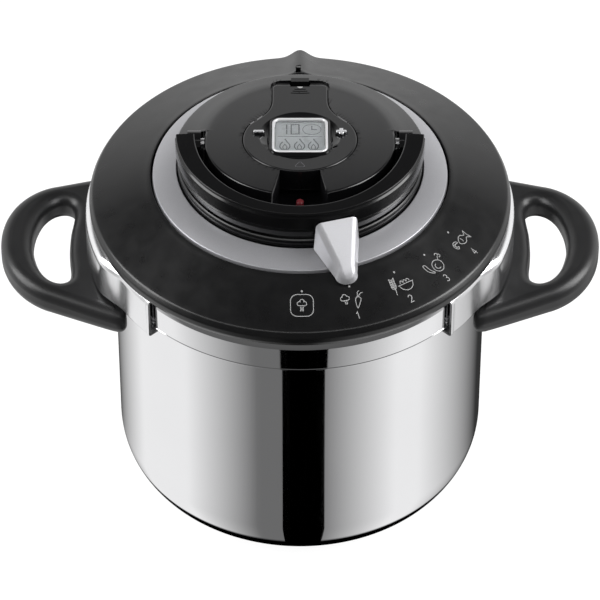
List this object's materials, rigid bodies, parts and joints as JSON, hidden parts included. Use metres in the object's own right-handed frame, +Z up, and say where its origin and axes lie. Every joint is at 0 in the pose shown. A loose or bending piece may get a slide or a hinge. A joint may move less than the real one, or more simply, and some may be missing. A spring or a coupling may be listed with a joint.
{
  "type": "pressure cooker",
  "caption": "Stovetop pressure cooker: steel pan, side handles, clamp lid with fold-down lock handle, pressure selector and clip-on timer.",
  "frame": {"origin": "centre of the base plate's underside, on the surface it stands on", "axes": "+Z up along the pan's axis; -Y is the front, where the selector lever points; X runs through both side handles"},
  "size_m": [0.3606, 0.2516, 0.2594],
  "materials": {
    "polished_steel": "mirror polished stainless steel",
    "plain_steel": "plain satin steel",
    "black_satin": "satin black moulded plastic",
    "black_gloss": "glossy black moulded plastic",
    "bakelite": "satin dark grey phenolic moulding",
    "silver_grey": "satin silver grey moulded plastic",
    "chrome_trim": "chrome plated plastic",
    "display": "grey liquid crystal panel",
    "window": "clear window",
    "red_plastic": "red moulded plastic",
    "seal_rubber": "translucent grey silicone",
    "board": "green laminate"
  },
  "bodies": {
    "pan": {"pan_body": "polished_steel", "base_plate": "polished_steel", "left_handle": "bakelite", "right_handle": "bakelite", "left_handle_bracket": "plain_steel", "right_handle_bracket": "plain_steel", "left_handle_screw_front": "plain_steel", "left_handle_screw_back": "plain_steel", "right_handle_screw_front": "plain_steel", "right_handle_screw_back": "plain_steel"},
    "lid": {"lid_shell": "polished_steel", "lid_seal": "seal_rubber", "lid_cover": "black_satin", "hub_base": "black_satin", "hub_crown": "black_gloss", "centre_bolt": "plain_steel", "centre_nut": "plain_steel", "cover_screw_1": "plain_steel", "cover_screw_2": "plain_steel", "cover_screw_3": "plain_steel", "valve_seat": "plain_steel", "valve_plug": "plain_steel", "valve_spring": "plain_steel", "spring_cap": "black_satin", "safety_valve": "plain_steel", "indicator_bush": "black_satin"},
    "lock": {"lock_handle": "black_gloss", "left_pivot_pin": "plain_steel", "right_pivot_pin": "plain_steel"},
    "drive": {"drive_plate": "plain_steel"},
    "left_clamp": {"left_jaw": "polished_steel", "left_jaw_arm": "plain_steel", "left_jaw_rivet_front": "plain_steel", "left_jaw_rivet_back": "plain_steel"},
    "right_clamp": {"right_jaw": "polished_steel", "right_jaw_arm": "plain_steel", "right_jaw_rivet_front": "plain_steel", "right_jaw_rivet_back": "plain_steel"},
    "selector": {"selector_ring": "silver_grey", "selector_lever": "silver_grey", "selector_cam": "silver_grey"},
    "indicator": {"indicator_pin": "red_plastic"},
    "timer": {"timer_case": "black_gloss", "timer_bezel": "chrome_trim", "timer_window": "window", "timer_display": "display", "timer_board": "board", "timer_cell": "plain_steel", "timer_cell_cover": "black_satin"},
    "plus_key": {"plus_button": "chrome_trim"},
    "minus_key": {"minus_button": "chrome_trim"},
    "catch": {"timer_catch": "black_gloss"}
  },
  "joints": [
    {"name": "lid_lift", "type": "slide", "parent": "pan", "child": "lid", "axis": [0, 0, 1], "range_m": [0, 0.12]},
    {"name": "handle_fold", "type": "hinge", "parent": "lid", "child": "lock", "pos_m": [0, 0.004, 0.2465], "axis": [-1, 0, 0], "range_deg": [0, 90]},
    {"name": "drive_turn", "type": "hinge", "parent": "lid", "child": "drive", "pos_m": [0, 0, 0.2162], "axis": [0, 0, -1], "range_deg": [0, 30]},
    {"name": "left_jaw_slide", "type": "slide", "parent": "lid", "child": "left_clamp", "axis": [-1, 0, 0], "range_m": [0, 0.009]},
    {"name": "right_jaw_slide", "type": "slide", "parent": "lid", "child": "right_clamp", "axis": [1, 0, 0], "range_m": [0, 0.009]},
    {"name": "selector_turn", "type": "hinge", "parent": "lid", "child": "selector", "pos_m": [0, 0, 0.229], "axis": [0, 0, 1], "range_deg": [-16.5, 44.5]},
    {"name": "indicator_rise", "type": "slide", "parent": "lid", "child": "indicator", "axis": [0, 0, 1], "range_m": [0, 0.003]},
    {"name": "timer_unclip", "type": "slide", "parent": "lid", "child": "timer", "axis": [0, 0.1219, 0.9925], "range_m": [0, 0.04]},
    {"name": "plus_press", "type": "slide", "parent": "timer", "child": "plus_key", "axis": [0, -0.1219, -0.9925], "range_m": [0, 0.0008], "stiffness_N_per_m": 300, "springref_m": -0.0005},
    {"name": "minus_press", "type": "slide", "parent": "timer", "child": "minus_key", "axis": [0, -0.1219, -0.9925], "range_m": [0, 0.0008], "stiffness_N_per_m": 300, "springref_m": -0.0005},
    {"name": "catch_press", "type": "slide", "parent": "lid", "child": "catch", "axis": [0, 1, 0], "range_m": [0, 0.0012], "stiffness_N_per_m": 400, "springref_m": -0.0005}
  ],
  "couplings": [
    {"joint": "drive_turn", "follows": "handle_fold", "ratio": 0.3333},
    {"joint": "left_jaw_slide", "follows": "handle_fold", "m_per_rad": 0.0056977},
    {"joint": "right_jaw_slide", "follows": "handle_fold", "m_per_rad": 0.0056977}
  ]
}
